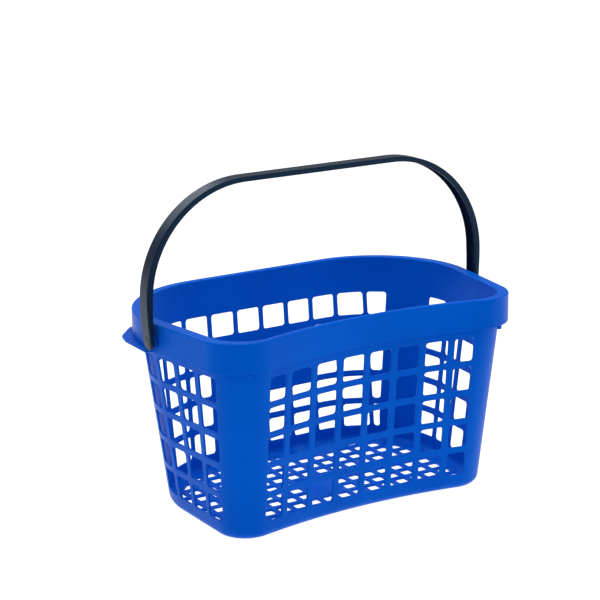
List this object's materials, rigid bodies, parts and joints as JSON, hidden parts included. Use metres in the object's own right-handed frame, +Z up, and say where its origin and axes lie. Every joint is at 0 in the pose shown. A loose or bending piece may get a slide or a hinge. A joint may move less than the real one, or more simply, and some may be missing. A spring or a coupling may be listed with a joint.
{
  "type": "shopping basket",
  "caption": "Hand-carried shopping basket: a kidney-shaped body with lattice walls and floor, a skirted rim, and a bail handle that swings on studs at the rim's ends.",
  "frame": {"origin": "middle of the body's length and width, on the surface that it stands on", "axes": "+X along the basket, +Y to its straight back wall, away from the hollowed front wall, +Z up"},
  "size_m": [0.451, 0.2764, 0.3892],
  "materials": {
    "body_plastic": "fine moulded satin",
    "handle_plastic": "smooth moulded, half gloss"
  },
  "bodies": {
    "basket": {"floor": "body_plastic", "front_wall": "body_plastic", "back_wall": "body_plastic", "left_wall": "body_plastic", "right_wall": "body_plastic", "front_left_corner": "body_plastic", "front_right_corner": "body_plastic", "back_left_corner": "body_plastic", "back_right_corner": "body_plastic", "rim": "body_plastic", "left_handle_rest": "body_plastic", "right_handle_rest": "body_plastic", "left_stacking_lug": "body_plastic", "right_stacking_lug": "body_plastic", "left_pivot_stud": "body_plastic", "right_pivot_stud": "body_plastic"},
    "handle": {"handle_grip": "handle_plastic", "handle_left_arm": "handle_plastic", "handle_right_arm": "handle_plastic"}
  },
  "joints": [
    {"name": "handle_swing", "type": "hinge", "parent": "basket", "child": "handle", "pos_m": [0, -0.0088, 0.217], "axis": [1, 0, 0], "range_deg": [-90, 125]}
  ]
}
